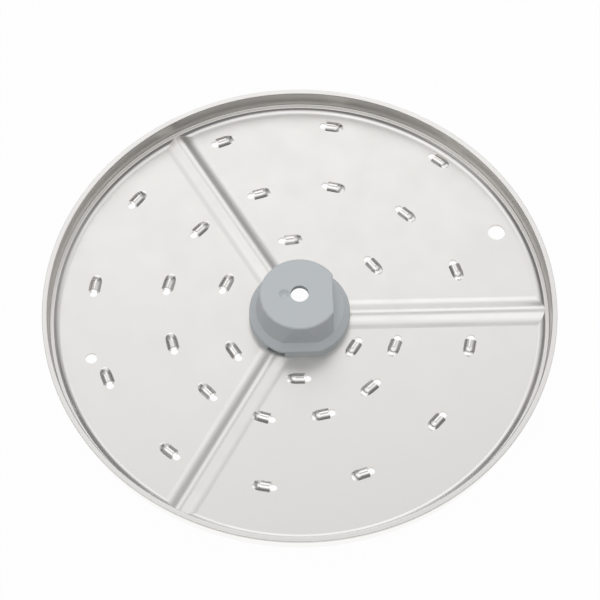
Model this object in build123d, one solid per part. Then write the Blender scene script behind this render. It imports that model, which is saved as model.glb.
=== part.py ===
from build123d import *
import os
from math import atan2, cos, degrees, hypot, radians, sin, sqrt, tan

# Grating disc for a countertop food processor: a pressed steel sheet with an upturned rim, three
# ribs and a spiral of teeth, moulded at its centre into a plastic hub with a keyed drive socket.
# Millimetres, +Z up. The origin is on the axis, in the flat under the hub that the disc rests on.
# Heights are above the plate's top face until the pieces are lifted to that origin at the end.

# Sheet and rim
sheet = 1.0               # thickness of the steel
rim_radius = 95.5         # outside of the lip
rim_height = 8.3          # top of the lip
lip_width = 1.4           # from the middle of the wall to the outside of the lip
wall_lean = 0.4           # how far the wall leans out between the ledge and the lip
ledge_width = 1.75        # narrow ledge inside the wall
ledge_rise = 1.4          # height of the ledge, and of the ribs that run into it
riser_run = 1.4           # slope between the plate and the ledge
plate_bend = 2.2          # wide bend at the slope's foot; bends are along the middle of the sheet
rim_bend = 0.2            # bends along the ledge, the wall and the lip
bend_share = 0.95         # most of a straight run that the bends at its ends take up

# Ribs
rib_angles = (0, 120, 240)
rib_foot = 9.2            # width over both flanks
rib_crest = 1.8           # width of the top, before it is rounded
rib_crest_radius = 4.4    # bends along the top
rib_foot_radius = 9.0     # bends along the feet
rib_tuck = 1.8            # how far a rib runs in under the hub's flange
rib_lap = 0.4             # how far a rib runs on into the ledge
rib_clearance = 0.3       # around a rib's end, in the notch in the flange
rib_slot_width = 7.0      # of the square slot in that notch
rib_slot_height = 3.0

# Teeth: each is a level arch with a round tail and an open mouth, and a round hole before the mouth
tooth_width = 4.2         # across the mouth
tooth_height = 1.1        # of the mouth's upper edge
tooth_length = 5.9        # from the mouth back to the tail's end
tooth_wall = 0.55         # steel left at the mouth
tooth_hollow_slope = 10.5 # of the hollow underside, in degrees
tooth_lead = 1.7          # from the tooth's middle to its mouth
tooth_hole_radius = 1.45
tooth_hole_lap = 0.4      # how far the hole cuts into the mouth's edge

# Spiral of teeth, from near the rim to near the hub
spiral_rim_gap = 3.7      # from the plate's edge to the outermost tooth's middle
spiral_hub_gap = 5.3      # from the hub's flange to the innermost tooth's middle
spiral_start = 50.8       # angle of the outermost tooth
spiral_step_counts = (11, 11, 6)          # steps from tooth to tooth, in three runs
spiral_step_angles = (29.7, 29.3, 57.85)  # angle of a step in each run

# Plain round holes in the plate
plate_hole_radii = (3.3, 2.2)
plate_hole_insets = (7.4, 11.3)  # from the plate's edge to the hole's middle
plate_hole_angles = (24.4, 191.7)

# Hub
flange_radius = 18.8
flange_grip = 3.3         # width of the sheet's edge that the flange covers
flange_flat_depth = 1.5   # depth of the flat across the flange's front
flange_corner = 6.0       # rounding at both ends of that flat
flange_soft = 0.8         # rounding between the upright edge and the slope above it
flange_edge = 4.0         # height of the flange's upright edge
shoulder = 2.5            # width and height of the slope above that edge
boss_height = 17.0        # top of the boss
boss_draft = 1.6          # how much its radius shrinks on the way up
boss_flat_depth = 2.3     # depth of the flat down its side, at the top
boss_corner = 0.8         # rounding at both ends of that flat
boss_bevel = 0.4          # narrow bevel round the top
hub_wall = 2.4            # side wall of the boss
hub_cap = 2.0             # wall over the socket
top_hole_radius = 3.4
dimple_radius = 2.0
dimple_floor = 0.5        # radius of its flat floor
dimple_depth = 1.2
dimple_gap = 0.3          # between the dimple and the top hole
collar_depth = 3.0        # ring under the sheet, which the disc stands on
collar_bevel = 0.6
socket_corner = 1.0       # rounding at both ends of the socket's flat
mouth_flare = 2.0         # how much the socket widens at its lower end
mouth_depth = 4.0         # height of that lead-in

# Sizes that follow from those above
plate_top = collar_depth + sheet
wall_top = rim_radius - lip_width
ledge_outer = wall_top - wall_lean
ledge_inner = ledge_outer - ledge_width
plate_radius = ledge_inner - riser_run
tooth_radius = ((tooth_width / 2) ** 2 + tooth_height**2) / (2 * tooth_height)
centre_hole_radius = flange_radius - flange_grip
flange_flat = flange_radius - flange_flat_depth
boss_foot = flange_edge + shoulder
boss_foot_radius = flange_radius - shoulder
boss_top_radius = boss_foot_radius - boss_draft
boss_front = flange_flat - shoulder
boss_flat = boss_top_radius - boss_flat_depth
socket_radius = boss_top_radius - hub_wall
socket_flat = boss_flat - hub_wall
socket_top = boss_height - hub_cap
hub_bottom = -sheet - collar_depth
dimple_offset = top_hole_radius + dimple_gap + dimple_radius
overcut = 2.0             # how far a cutter runs past the face that it opens

FRONT = -90               # direction of the hub's front flats, in degrees
SIDE = 0                  # direction of the flat down the boss and in the socket
STANDING = (Align.CENTER, Align.CENTER, Align.MIN)
AHEAD = (Align.MIN, Align.CENTER, Align.CENTER)
BEHIND = (Align.MAX, Align.CENTER, Align.MIN)
AHEAD_STANDING = (Align.MIN, Align.CENTER, Align.MIN)


def bent_line(points, bends):
    """Polyline with its corners rounded. Where a run is too short for its bends, all get smaller."""
    runs = [(end[0] - start[0], end[1] - start[1]) for start, end in zip(points, points[1:])]
    headings = [atan2(rise, along) for along, rise in runs]
    turns = [abs(after - before) for before, after in zip(headings, headings[1:])]
    taken = [0] + [radius * tan(turn / 2) for radius, turn in zip(bends, turns)] + [0]
    room = min(hypot(*run) / (first + last) for run, first, last in zip(runs, taken, taken[1:]))
    shrink = min(1, bend_share * room)
    return FilletPolyline(*points, radius=[radius * shrink for radius in bends])


def sheet_hole(radius):
    """Upright cutter for a round hole through the plate."""
    return Cylinder(radius, 2 * (sheet + overcut))


def turned_blank():
    """The plate, step, ledge and rim, turned from one bent line with the sheet's thickness."""
    middle = -sheet / 2
    line = bent_line(
        [
            (centre_hole_radius - sheet, middle),
            (plate_radius, middle),
            (ledge_inner, ledge_rise + middle),
            (ledge_outer, ledge_rise + middle),
            (wall_top, rim_height - sheet / 2),
            (rim_radius, rim_height - sheet / 2),
        ],
        [plate_bend, rim_bend, rim_bend, rim_bend],
    )
    section = make_face(offset(line, sheet / 2).edges())
    trim = Cylinder(rim_radius, 4 * rim_height)
    return (revolve(Plane.XZ * section, Axis.Z) & trim) - sheet_hole(centre_hole_radius)


def rib_bar(lift, grow, base, start, end):
    """Bar with a rib's outline on top and a flat base, along +X from one radius to another.

    lift raises the outline, and grow widens it on both sides and makes it higher."""
    flank = (rib_foot - rib_crest) / 2
    half_crest = rib_crest / 2 + grow
    half_foot = half_crest + flank
    edge = half_foot + flank
    top = lift + ledge_rise + grow
    outline = bent_line(
        [
            (-edge, lift),
            (-half_foot, lift),
            (-half_crest, top),
            (half_crest, top),
            (half_foot, lift),
            (edge, lift),
        ],
        [rib_foot_radius, rib_crest_radius, rib_crest_radius, rib_foot_radius],
    )
    base_line = Polyline((edge, lift), (edge, base), (-edge, base), (-edge, lift))
    section = make_face(outline.edges() + base_line.edges())
    return extrude(Plane.YZ.offset(start) * section, end - start)


def tooth_scoop():
    """Raised part of a tooth, a level round arch with a ball-shaped tail, rooted in the plate.

    +X is the way the tooth cuts, and +Y points to the disc's axis."""
    root = -sheet / 2
    arch_length = tooth_length - tooth_width / 2
    arch = Rot(0, -90, 0) * Cylinder(tooth_radius, arch_length, align=STANDING)
    bar = arch + Pos(-arch_length, 0, 0) * Sphere(tooth_radius)
    keep = Box(2 * tooth_length, 2 * tooth_width, tooth_height - root, align=BEHIND)
    return Pos(tooth_lead, 0, tooth_height - tooth_radius) * bar & Pos(tooth_lead, 0, root) * keep


def tooth_hollow():
    """Hollow underside of a tooth, a round bar that slopes down to the tail, open at the mouth."""
    bar = Rot(0, 90 - tooth_hollow_slope, 0) * Cylinder(tooth_radius - tooth_wall, 4 * tooth_length)
    depth = 2 * (sheet + tooth_height)
    keep = Box(2 * tooth_length, 2 * tooth_width, depth, align=BEHIND)
    bar = Pos(tooth_lead, 0, tooth_height - tooth_radius) * bar
    return bar & Pos(tooth_lead, 0, tooth_height - depth) * keep


def tooth_hole():
    """Round hole before a tooth's mouth."""
    return Pos(tooth_lead + tooth_hole_radius - tooth_hole_lap, 0, 0) * sheet_hole(tooth_hole_radius)


def tooth_places():
    """Where each tooth of the spiral sits."""
    outermost = plate_radius - spiral_rim_gap
    innermost = flange_radius + spiral_hub_gap
    angles = [spiral_start]
    for count, step_angle in zip(spiral_step_counts, spiral_step_angles):
        for _ in range(count):
            angles.append(angles[-1] + step_angle)
    step_in = (outermost - innermost) / (len(angles) - 1)
    return [
        Rot(0, 0, angle) * Pos(outermost - step_in * index, 0, 0) * Rot(0, 0, 90)
        for index, angle in enumerate(angles)
    ]


def grating_disc():
    """The pressed sheet, with its ribs, teeth and holes."""
    rib_start = flange_radius - rib_tuck
    rib_end = ledge_inner + rib_lap
    rib = rib_bar(0, 0, -sheet / 2, rib_start, rib_end)
    groove = rib_bar(-sheet, 0, -sheet - overcut, rib_start + sheet, rib_end + sheet / 2)
    disc = turned_blank()
    disc = disc + [Rot(0, 0, angle) * rib for angle in rib_angles]
    disc = disc - [Rot(0, 0, angle) * groove for angle in rib_angles]
    for radius, inset, angle in zip(plate_hole_radii, plate_hole_insets, plate_hole_angles):
        disc = disc - Rot(0, 0, angle) * Pos(plate_radius - inset, 0, 0) * sheet_hole(radius)
    scoop, hollow, hole = tooth_scoop(), tooth_hollow(), tooth_hole()
    places = tooth_places()
    disc = disc + [place * scoop for place in places]
    disc = disc - [place * hollow for place in places]
    disc = disc - [place * hole for place in places]
    return disc


def flat_sided(radius, flat, direction, corner):
    """Round outline with one flat, facing the given direction in degrees, and rounded corners."""
    off_cut = Pos(flat + radius, 0) * Rectangle(2 * radius, 2 * radius)
    outline = Circle(radius) - Rot(0, 0, direction) * off_cut
    towards_flat = Axis((0, 0, 0), (cos(radians(direction)), sin(radians(direction)), 0))
    return fillet(outline.vertices().sort_by(towards_flat)[-2:], corner)


def hub_flange():
    """The flange over the sheet, with its upright edge, sloping shoulder and notches for the ribs."""
    flange = extrude(flat_sided(flange_radius, flange_flat, FRONT, flange_corner), boss_foot)
    flange = chamfer(flange.faces().sort_by(Axis.Z)[-1].edges(), shoulder)
    brow = flange.edges().filter_by_position(Axis.Z, flange_edge, flange_edge)
    flange = fillet(brow, flange_soft)
    notch_start = flange_radius - rib_tuck - rib_clearance
    notch_end = flange_radius + overcut
    notch = rib_bar(0, rib_clearance, -overcut, notch_start, notch_end)
    slot = Box(notch_end - notch_start, rib_slot_width, rib_slot_height, align=AHEAD_STANDING)
    notch = notch + Pos(notch_start, 0, 0) * slot
    return flange - [Rot(0, 0, angle) * notch for angle in rib_angles]


def hub_boss():
    """The tapered boss, with a flat down its side and another at the front."""
    rise = boss_height - boss_foot
    boss = Pos(0, 0, boss_foot) * Cone(boss_foot_radius, boss_top_radius, rise, align=STANDING)
    block = 2 * boss_height
    slab = Box(block, block, block, align=AHEAD_STANDING)
    boss = boss - Rot(0, 0, SIDE) * Pos(boss_flat, 0, 0) * slab
    side = boss.faces().sort_by(Axis.X)[-1]
    corners = [edge for edge in side.edges() if edge.bounding_box().size.Z > boss_bevel]
    boss = fillet(corners, boss_corner)
    foot = flat_sided(boss_foot_radius, boss_front, FRONT, flange_corner - shoulder)
    return boss_bevels(boss & extrude(foot, boss_height))


def boss_bevels(boss):
    """The boss with a narrow bevel round its top: a cone, and cuts along the flat and its corners."""
    lean = degrees(atan2(boss_draft, boss_height - boss_foot))
    bevel_top = boss_top_radius - boss_bevel
    bevel_spread = boss_height * tan(radians(45 + lean / 2))
    boss = boss & Cone(bevel_top + bevel_spread, bevel_top, boss_height, align=STANDING)
    corner_x = boss_flat - boss_corner
    corner_y = sqrt((boss_top_radius - boss_corner) ** 2 - corner_x**2)
    corner_turn = degrees(atan2(corner_y, corner_x)) / 2
    slab = Box(boss_height, 2 * boss_height, 2 * boss_height, align=AHEAD)
    for side in (-1, 0, 1):
        corner = Pos(corner_x, side * corner_y, boss_height) * Rot(0, 0, side * corner_turn)
        tilt = Rot(0, -45 - abs(side) * lean / 4, 0)
        cut = corner * Pos(boss_corner - boss_bevel, 0, 0) * tilt * slab
        boss = boss - Rot(0, 0, SIDE) * cut
    return boss


def hub_foot():
    """The neck that fills the sheet's centre hole, and the collar below the sheet."""
    collar = Pos(0, 0, hub_bottom) * Cylinder(flange_radius, collar_depth, align=STANDING)
    collar = chamfer(collar.faces().sort_by(Axis.Z)[0].edges(), collar_bevel)
    return collar + Pos(0, 0, -sheet) * Cylinder(centre_hole_radius, sheet, align=STANDING)


def hub_hollows():
    """What is cut out of the hub: the drive socket, and the hole and dimple in its top."""
    outline = flat_sided(socket_radius, socket_flat, SIDE, socket_corner)
    socket = extrude(outline, socket_top - hub_bottom)
    mouth = Cone(socket_radius + mouth_flare, socket_radius, mouth_depth, align=STANDING)
    hole = Cylinder(top_hole_radius, hub_cap + 2 * overcut, align=STANDING)
    dimple_reach = dimple_depth + overcut
    dimple_top = dimple_floor + (dimple_radius - dimple_floor) * dimple_reach / dimple_depth
    dimple = Cone(dimple_floor, dimple_top, dimple_reach, align=STANDING)
    return [
        Pos(0, 0, hub_bottom) * socket,
        Pos(0, 0, hub_bottom) * mouth,
        Pos(0, 0, socket_top - overcut) * hole,
        Rot(0, 0, SIDE) * Pos(-dimple_offset, 0, boss_height - dimple_depth) * dimple,
    ]


def hub():
    """The moulding that grips the sheet's centre, hollow below for the drive."""
    return (hub_flange() + hub_boss() + hub_foot()) - hub_hollows()


os.makedirs("parts", exist_ok=True)
raised = Pos(0, 0, plate_top)
export_step(raised * grating_disc(), "parts/grating_disc.step")
export_step(raised * hub(), "parts/hub.step")
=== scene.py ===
"""Looks of the grating disc: satin steel sheet, moulded hub, white studio and the photo's camera."""

import math

import bpy
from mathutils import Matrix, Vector


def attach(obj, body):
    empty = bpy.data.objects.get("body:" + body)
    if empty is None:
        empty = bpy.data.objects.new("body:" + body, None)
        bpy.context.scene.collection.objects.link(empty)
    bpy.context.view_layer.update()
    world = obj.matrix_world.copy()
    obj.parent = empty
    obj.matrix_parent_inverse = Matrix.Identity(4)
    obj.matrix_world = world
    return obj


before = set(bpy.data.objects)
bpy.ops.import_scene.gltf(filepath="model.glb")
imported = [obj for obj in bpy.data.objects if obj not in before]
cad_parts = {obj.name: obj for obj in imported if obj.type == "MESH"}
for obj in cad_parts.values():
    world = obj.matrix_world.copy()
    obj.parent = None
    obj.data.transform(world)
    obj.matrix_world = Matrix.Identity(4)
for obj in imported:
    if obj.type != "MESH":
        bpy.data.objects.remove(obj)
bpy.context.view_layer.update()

MM = 0.001
PLATE_TOP = 4.0           # height of the plate's top face above the floor (mm)

# Camera, from the photo: it looks at the point on the axis in the plate's top face
IMAGE_PIXELS = 600
AIM = Vector((0, 0, PLATE_TOP * MM))
AIM_PIXEL = (299.65, 315.75)
CAMERA_DISTANCE = 983 * MM
CAMERA_ELEVATION = 61.4
CAMERA_TURN = -1.4
FOCAL_PIXELS = 2630
SENSOR_MM = 36
NEAR_CLIP = 10 * MM

# Studio light by direction: name, azimuth from +Y towards +X, elevation, half-angles of the full and
# the fading part (degrees), level of grey
SOFTBOXES = [
    ("back_panel", 0, 50, 6, 24, 1.10),
    ("back_mid", 0, 28, 6, 26, 0.28),
    ("back_low", 0, 8, 5, 24, 0.66),
    ("top_panel", 0, 90, 8, 32, 0.10),
    ("front_top", 180, 66, 6, 28, 0.88),
    ("left_top", 270, 64, 8, 30, 0.99),
    ("right_top", 90, 62, 8, 30, 0.76),
    ("right_back", 55, 42, 5, 28, 0.34),
    ("left_back", 310, 42, 5, 28, 0.41),
    ("right_low", 75, 14, 5, 30, 0.16),
    ("left_low", 240, 12, 5, 28, 0.34),
]
AMBIENT = 0.19

# Steel: colours, roughness, and the noise of its grain and of its uneven polish
STEEL_COLOUR = (0.83, 0.815, 0.795, 1)
PAINTED_WALL_SHADE_COLOUR = (0.66, 0.645, 0.615, 1)        # painted shade: darker steel colour on upright faces (the rim's wall and the cut edges of holes), where the light falls dim
# Outside face of the rim: polished, and its near-white colour is a painted reflection
POLISHED_PAINTED_BRIGHT_COLOUR = (0.95, 0.94, 0.93, 1)
SHEET_ROUGHNESS = 0.33
PRESSED_ROUGHNESS = 0.2
POLISHED_ROUGHNESS = 0.08
GRAIN_STRETCH = (120, 6000, 6000)
GRAIN_STRENGTH = 0.1
GRAIN_DEPTH = 0.02 * MM
CLOUD_SCALE = 90.0
CLOUD_RANGE = (0.3, 0.7)
POLISH_SPREAD = (0.92, 1.08)

# How much a face looks up or down: from upright wall to slope, which also bounds the painted wall shade,
# and from pressed slope to level sheet
WALL_LEVEL = (0.3, 0.45)
PRESSED_LEVEL = (0.7, 0.9)

# Plastic of the hub, with a spark-eroded texture
PLASTIC_COLOUR = (0.68, 0.72, 0.745, 1)
PLASTIC_ROUGHNESS = 0.5
EROSION_SCALE = 2600.0
EROSION_STRENGTH = 0.25
EROSION_DEPTH = 0.06 * MM

# Floor
FLOOR_HALF = 3.0          # half of its side (m)
FLOOR_COLOUR = (0.9, 0.9, 0.9, 1)
FLOOR_WHITE = 0.97        # share of the floor's white that no shadow darkens

# Finished face of the rim, a little proud of the sheet: radius, height above the floor, rounding (mm)
RIM_LINE = [
    (89.0, PLATE_TOP + 0.01, 0),
    (90.31, PLATE_TOP + 0.03, 3.0),
    (91.69, PLATE_TOP + 1.45, 0.5),
    (93.15, PLATE_TOP + 1.45, 0.35),
    (93.56, PLATE_TOP + 8.37, 0.45),
    (95.57, PLATE_TOP + 8.37, 0.22),
    (95.57, PLATE_TOP + 7.23, 0.22),
    (94.64, PLATE_TOP + 7.23, 0.2),
    (94.23, PLATE_TOP + 0.35, 0),
]
RIM_STEPS = 5             # faces round each bend
RIM_LEAD = 0.04           # narrow straight face before and after each bend (mm)
RIM_SEGMENTS = 360

# Finished face of a tooth (mm), a little proud of the solid tooth but for the middle of the tail, where the
# solid's rounder tail shows: half-width, height, where the tail starts, measured from the tooth's middle,
# the tail's length, the mouth, and the middle and radius of the hole
TOOTH_HALF = 2.2
TOOTH_HEIGHT = 1.22
TAIL_START = -1.7
TAIL_LENGTH = 3.6
TOOTH_MOUTH = 1.7
TOOTH_HOLE = (2.75, 1.47)
TOOTH_STEPS = 12          # faces along the arch, along the tail and across each half

# The teeth's spiral: radius of the outermost and the innermost tooth (mm), angle of the outermost one,
# and the number and angle of the steps from tooth to tooth in three runs (degrees)
SPIRAL_RADII = (86.85, 24.1)
SPIRAL_START = 50.8
SPIRAL_RUNS = [(11, 29.7), (11, 29.3), (6, 57.85)]


def add_node(tree, kind, **settings):
    """New node in a tree, with properties by name and inputs by name or number."""
    node = tree.nodes.new(kind)
    inputs = settings.pop("inputs", {})
    for key, value in settings.items():
        setattr(node, key, value)
    for key, value in inputs.items():
        if isinstance(value, bpy.types.NodeSocket):
            tree.links.new(value, node.inputs[key])
        else:
            node.inputs[key].default_value = value
    return node


def calculated(tree, operation, *values):
    """Result of a sum on one or two values."""
    return add_node(tree, "ShaderNodeMath", operation=operation, inputs=dict(enumerate(values))).outputs[0]


def mapped(tree, value, source, target=(0, 1), interpolation="LINEAR"):
    """A value moved from one range to another, and kept in it."""
    ends = {"From Min": source[0], "From Max": source[1], "To Min": target[0], "To Max": target[1]}
    return add_node(
        tree, "ShaderNodeMapRange", interpolation_type=interpolation, inputs={"Value": value, **ends}
    ).outputs[0]


def noise(tree, place, scale, detail, roughness):
    """Grey noise over a place."""
    return add_node(
        tree, "ShaderNodeTexNoise",
        inputs={"Vector": place, "Scale": scale, "Detail": detail, "Roughness": roughness},
    ).outputs[0]


def bumped(tree, height, strength, depth):
    """Normal of a surface with fine bumps."""
    return add_node(
        tree, "ShaderNodeBump", inputs={"Height": height, "Strength": strength, "Distance": depth}
    ).outputs[0]


def new_material(name):
    """Empty node material, its tree and its output node."""
    material = bpy.data.materials.new(name)
    material.use_nodes = True
    tree = material.node_tree
    tree.nodes.clear()
    return material, tree, add_node(tree, "ShaderNodeOutputMaterial")


def steel(name, colour, roughness, drawn_with_painted_shade=False):
    """Stainless steel with fine grain. Pressed, its slopes are burnished, and its upright walls and cut
    edges take a darker colour as painted shade.
    """
    material, tree, output = new_material(name)
    where = add_node(tree, "ShaderNodeTexCoord")
    place = where.outputs["Object"]
    along_grain = add_node(tree, "ShaderNodeMapping", inputs={"Vector": place, "Scale": GRAIN_STRETCH})
    grain = noise(tree, along_grain.outputs[0], scale=1.0, detail=3.0, roughness=0.6)
    clouds = noise(tree, place, CLOUD_SCALE, detail=4.0, roughness=0.55)
    polish = mapped(tree, clouds, CLOUD_RANGE, [roughness * share for share in POLISH_SPREAD])
    if drawn_with_painted_shade:
        facing = add_node(tree, "ShaderNodeSeparateXYZ", inputs={0: where.outputs["Normal"]})
        level = calculated(tree, "ABSOLUTE", facing.outputs["Z"])
        no_wall = mapped(tree, level, WALL_LEVEL)
        pressed = calculated(tree, "MULTIPLY", mapped(tree, level, PRESSED_LEVEL, (1, 0)), no_wall)
        burnish = mapped(tree, pressed, (0, 1), (1, PRESSED_ROUGHNESS / roughness))
        polish = calculated(tree, "MULTIPLY", polish, burnish)
        # painted shade: upright faces take the darker wall colour
        colour = add_node(
            tree, "ShaderNodeMix", data_type="RGBA", inputs={0: no_wall, 6: PAINTED_WALL_SHADE_COLOUR, 7: colour}
        ).outputs[2]
    shader = add_node(
        tree, "ShaderNodeBsdfPrincipled",
        inputs={
            "Base Color": colour,
            "Metallic": 1.0,
            "Roughness": polish,
            "Normal": bumped(tree, grain, GRAIN_STRENGTH, GRAIN_DEPTH),
        },
    )
    tree.links.new(shader.outputs[0], output.inputs[0])
    return material


def hub_plastic():
    """Grey moulded plastic with a fine spark-eroded texture."""
    material, tree, output = new_material("grey_plastic")
    place = add_node(tree, "ShaderNodeTexCoord").outputs["Object"]
    texture = noise(tree, place, EROSION_SCALE, detail=3.0, roughness=0.6)
    shader = add_node(
        tree, "ShaderNodeBsdfPrincipled",
        inputs={
            "Base Color": PLASTIC_COLOUR,
            "Roughness": PLASTIC_ROUGHNESS,
            "Normal": bumped(tree, texture, EROSION_STRENGTH, EROSION_DEPTH),
        },
    )
    tree.links.new(shader.outputs[0], output.inputs[0])
    return material


def new_piece(name, vertices, faces, *materials):
    """Smooth mesh in the scene, with its materials."""
    mesh = bpy.data.meshes.new(name)
    mesh.from_pydata(vertices, [], faces)
    for material in materials:
        mesh.materials.append(material)
    for polygon in mesh.polygons:
        polygon.use_smooth = True
    piece = bpy.data.objects.new(name, mesh)
    bpy.context.scene.collection.objects.link(piece)
    return piece


def rounded_line(corners):
    """Points along a bent line in a plane, its corners rounded by short steps."""
    points = [Vector(corners[0][:2])]
    for before, here, after in zip(corners, corners[1:], corners[2:]):
        corner, rounding = Vector(here[:2]), here[2]
        back = (Vector(before[:2]) - corner).normalized()
        ahead = (Vector(after[:2]) - corner).normalized()
        half = back.angle(ahead) / 2
        centre = corner + (back + ahead).normalized() * rounding / math.sin(half)
        reach = rounding / math.tan(half)
        first, last = back * reach + corner - centre, ahead * reach + corner - centre
        points.append(centre + first + back * RIM_LEAD)
        for step in range(RIM_STEPS + 1):
            points.append(centre + first.lerp(last, step / RIM_STEPS).normalized() * rounding)
        points.append(centre + last + ahead * RIM_LEAD)
    return points + [Vector(corners[-1][:2])]


def rim_face(inside, outside):
    """Smooth turned face of the rim, from the plate's edge over the lip and down the outside."""
    line = rounded_line(RIM_LINE)
    strips = len(line) - 1
    vertices, faces = [], []
    for segment in range(RIM_SEGMENTS):
        turn = 2 * math.pi * segment / RIM_SEGMENTS
        vertices += [(r * MM * math.cos(turn), r * MM * math.sin(turn), z * MM) for r, z in line]
        here = segment * len(line)
        beside = (segment + 1) % RIM_SEGMENTS * len(line)
        faces += [(here + i, here + i + 1, beside + i + 1, beside + i) for i in range(strips)]
    piece = new_piece("rim_face", vertices, faces, inside, outside)
    for polygon in piece.data.polygons:
        # the outermost band, the rim's outside face, takes the polished steel with its painted bright
        # reflection
        polygon.material_index = int(polygon.index % strips == strips - 1)
    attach(piece, "root")


def tooth_point(along, across):
    """Point on a tooth's face: along runs from -1 at the mouth over 0 to 1 at the tail's end."""
    tail = max(along, 0)
    y = across * TOOTH_HALF * math.sqrt(1 - tail**2)
    if tail:
        x = TAIL_START - TAIL_LENGTH * tail
    else:
        middle, radius = TOOTH_HOLE
        edge = min(TOOTH_MOUTH, middle - math.sqrt(max(radius**2 - y**2, 0)))
        x = TAIL_START + (TAIL_START - edge) * along
    z = TOOTH_HEIGHT * (1 + math.cos(math.pi * tail)) / 2 * (1 - across**2)
    return x, y, PLATE_TOP + z


def tooth_places():
    """Radius and angle (radians) of each tooth along the spiral."""
    angles = [SPIRAL_START]
    for count, step in SPIRAL_RUNS:
        for _ in range(count):
            angles.append(angles[-1] + step)
    outermost, innermost = SPIRAL_RADII
    inward = (innermost - outermost) / (len(angles) - 1)
    return [(outermost + inward * index, math.radians(angle)) for index, angle in enumerate(angles)]


def tooth_faces(material):
    """Smooth faces of all the teeth, from the mouth to the tail that fades into the plate."""
    steps = range(-TOOTH_STEPS, TOOTH_STEPS + 1)
    wide = len(steps)
    grid = [tooth_point(i / TOOTH_STEPS, j / TOOTH_STEPS) for i in steps for j in steps]
    vertices, faces = [], []
    for radius, turn in tooth_places():
        base = len(vertices)
        for x, y, z in grid:
            outward = radius - y
            vertices.append((
                (outward * math.cos(turn) - x * math.sin(turn)) * MM,
                (outward * math.sin(turn) + x * math.cos(turn)) * MM,
                z * MM,
            ))
        for i in range(wide - 1):
            for j in range(wide - 1):
                corner = base + i * wide + j
                faces.append((corner, corner + 1, corner + wide + 1, corner + wide))
    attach(new_piece("tooth_faces", vertices, faces, material), "root")


def direction(azimuth, elevation):
    """Unit vector; azimuth turns from +Y towards +X."""
    a, e = math.radians(azimuth), math.radians(elevation)
    return Vector((math.sin(a) * math.cos(e), math.cos(a) * math.cos(e), math.sin(e)))


def studio_world():
    """Soft light by direction. The camera itself sees plain white."""
    world = bpy.data.worlds.new("studio")
    world.use_nodes = True
    tree = world.node_tree
    tree.nodes.clear()
    facing = add_node(tree, "ShaderNodeTexCoord").outputs["Generated"]
    total = AMBIENT
    for name, azimuth, elevation, full, fade, grey in SOFTBOXES:
        towards = add_node(
            tree, "ShaderNodeVectorMath", operation="DOT_PRODUCT", label=name,
            inputs={0: facing, 1: direction(azimuth, elevation)},
        )
        ends = math.cos(math.radians(fade)), math.cos(math.radians(full))
        glow = mapped(tree, towards.outputs["Value"], ends, (0, grey), "SMOOTHSTEP")
        total = calculated(tree, "ADD", total, glow)
    lit = add_node(tree, "ShaderNodeBackground", inputs={"Color": total})
    white = add_node(tree, "ShaderNodeBackground", inputs={"Color": (1, 1, 1, 1)})
    path = add_node(tree, "ShaderNodeLightPath")
    seen = add_node(
        tree, "ShaderNodeMixShader",
        inputs={0: path.outputs["Is Camera Ray"], 1: lit.outputs[0], 2: white.outputs[0]},
    )
    output = add_node(tree, "ShaderNodeOutputWorld")
    tree.links.new(seen.outputs[0], output.inputs[0])
    bpy.context.scene.world = world


def floor_white():
    """White floor: it bounces light, and shows to the camera and in the metal as nearly plain white."""
    material, tree, output = new_material("floor_white")
    matte = add_node(tree, "ShaderNodeBsdfDiffuse", inputs={"Color": FLOOR_COLOUR})
    white = add_node(tree, "ShaderNodeEmission", inputs={"Color": (1, 1, 1, 1), "Strength": 1.0})
    path = add_node(tree, "ShaderNodeLightPath").outputs
    seen = calculated(tree, "MAXIMUM", path["Is Camera Ray"], path["Is Glossy Ray"])
    seen = calculated(tree, "MAXIMUM", seen, path["Is Transmission Ray"])
    share = calculated(tree, "MULTIPLY", seen, FLOOR_WHITE)
    mixed = add_node(
        tree, "ShaderNodeMixShader", inputs={0: share, 1: matte.outputs[0], 2: white.outputs[0]}
    )
    tree.links.new(mixed.outputs[0], output.inputs[0])
    return material


def floor():
    """Level square floor under the disc."""
    h = FLOOR_HALF
    corners = [(-h, -h, 0), (h, -h, 0), (h, h, 0), (-h, h, 0)]
    new_piece("floor", corners, [(0, 1, 2, 3)], floor_white())


def camera():
    """Camera at the photo's place, with the small shift of its framing."""
    data = bpy.data.cameras.new("camera")
    data.sensor_width = SENSOR_MM
    data.lens = FOCAL_PIXELS / IMAGE_PIXELS * SENSOR_MM
    data.shift_x = (IMAGE_PIXELS / 2 - AIM_PIXEL[0]) / IMAGE_PIXELS
    data.shift_y = (AIM_PIXEL[1] - IMAGE_PIXELS / 2) / IMAGE_PIXELS
    data.clip_start = NEAR_CLIP
    piece = bpy.data.objects.new("camera", data)
    away = direction(180 - CAMERA_TURN, CAMERA_ELEVATION)
    piece.location = AIM + away * CAMERA_DISTANCE
    piece.rotation_euler = (-away).to_track_quat("-Z", "Y").to_euler()
    bpy.context.scene.collection.objects.link(piece)
    bpy.context.scene.camera = piece


def dress(node, material):
    """Give a CAD node its finished material."""
    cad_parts[node].data.materials[0] = material


# the disc's sheet steel, with painted shade on its upright walls and cut edges
satin = steel("satin_steel_painted_wall_shade", STEEL_COLOUR, SHEET_ROUGHNESS, drawn_with_painted_shade=True)
dress("grating_disc", satin)
# the rim's outside face gets polished steel whose brighter colour is painted reflection
rim_face(satin, steel("polished_steel_painted_bright", POLISHED_PAINTED_BRIGHT_COLOUR, POLISHED_ROUGHNESS))
tooth_faces(steel("burnished_steel", STEEL_COLOUR, PRESSED_ROUGHNESS))
dress("hub", hub_plastic())
studio_world()
floor()
camera()
bpy.context.scene.view_settings.view_transform = "Standard"
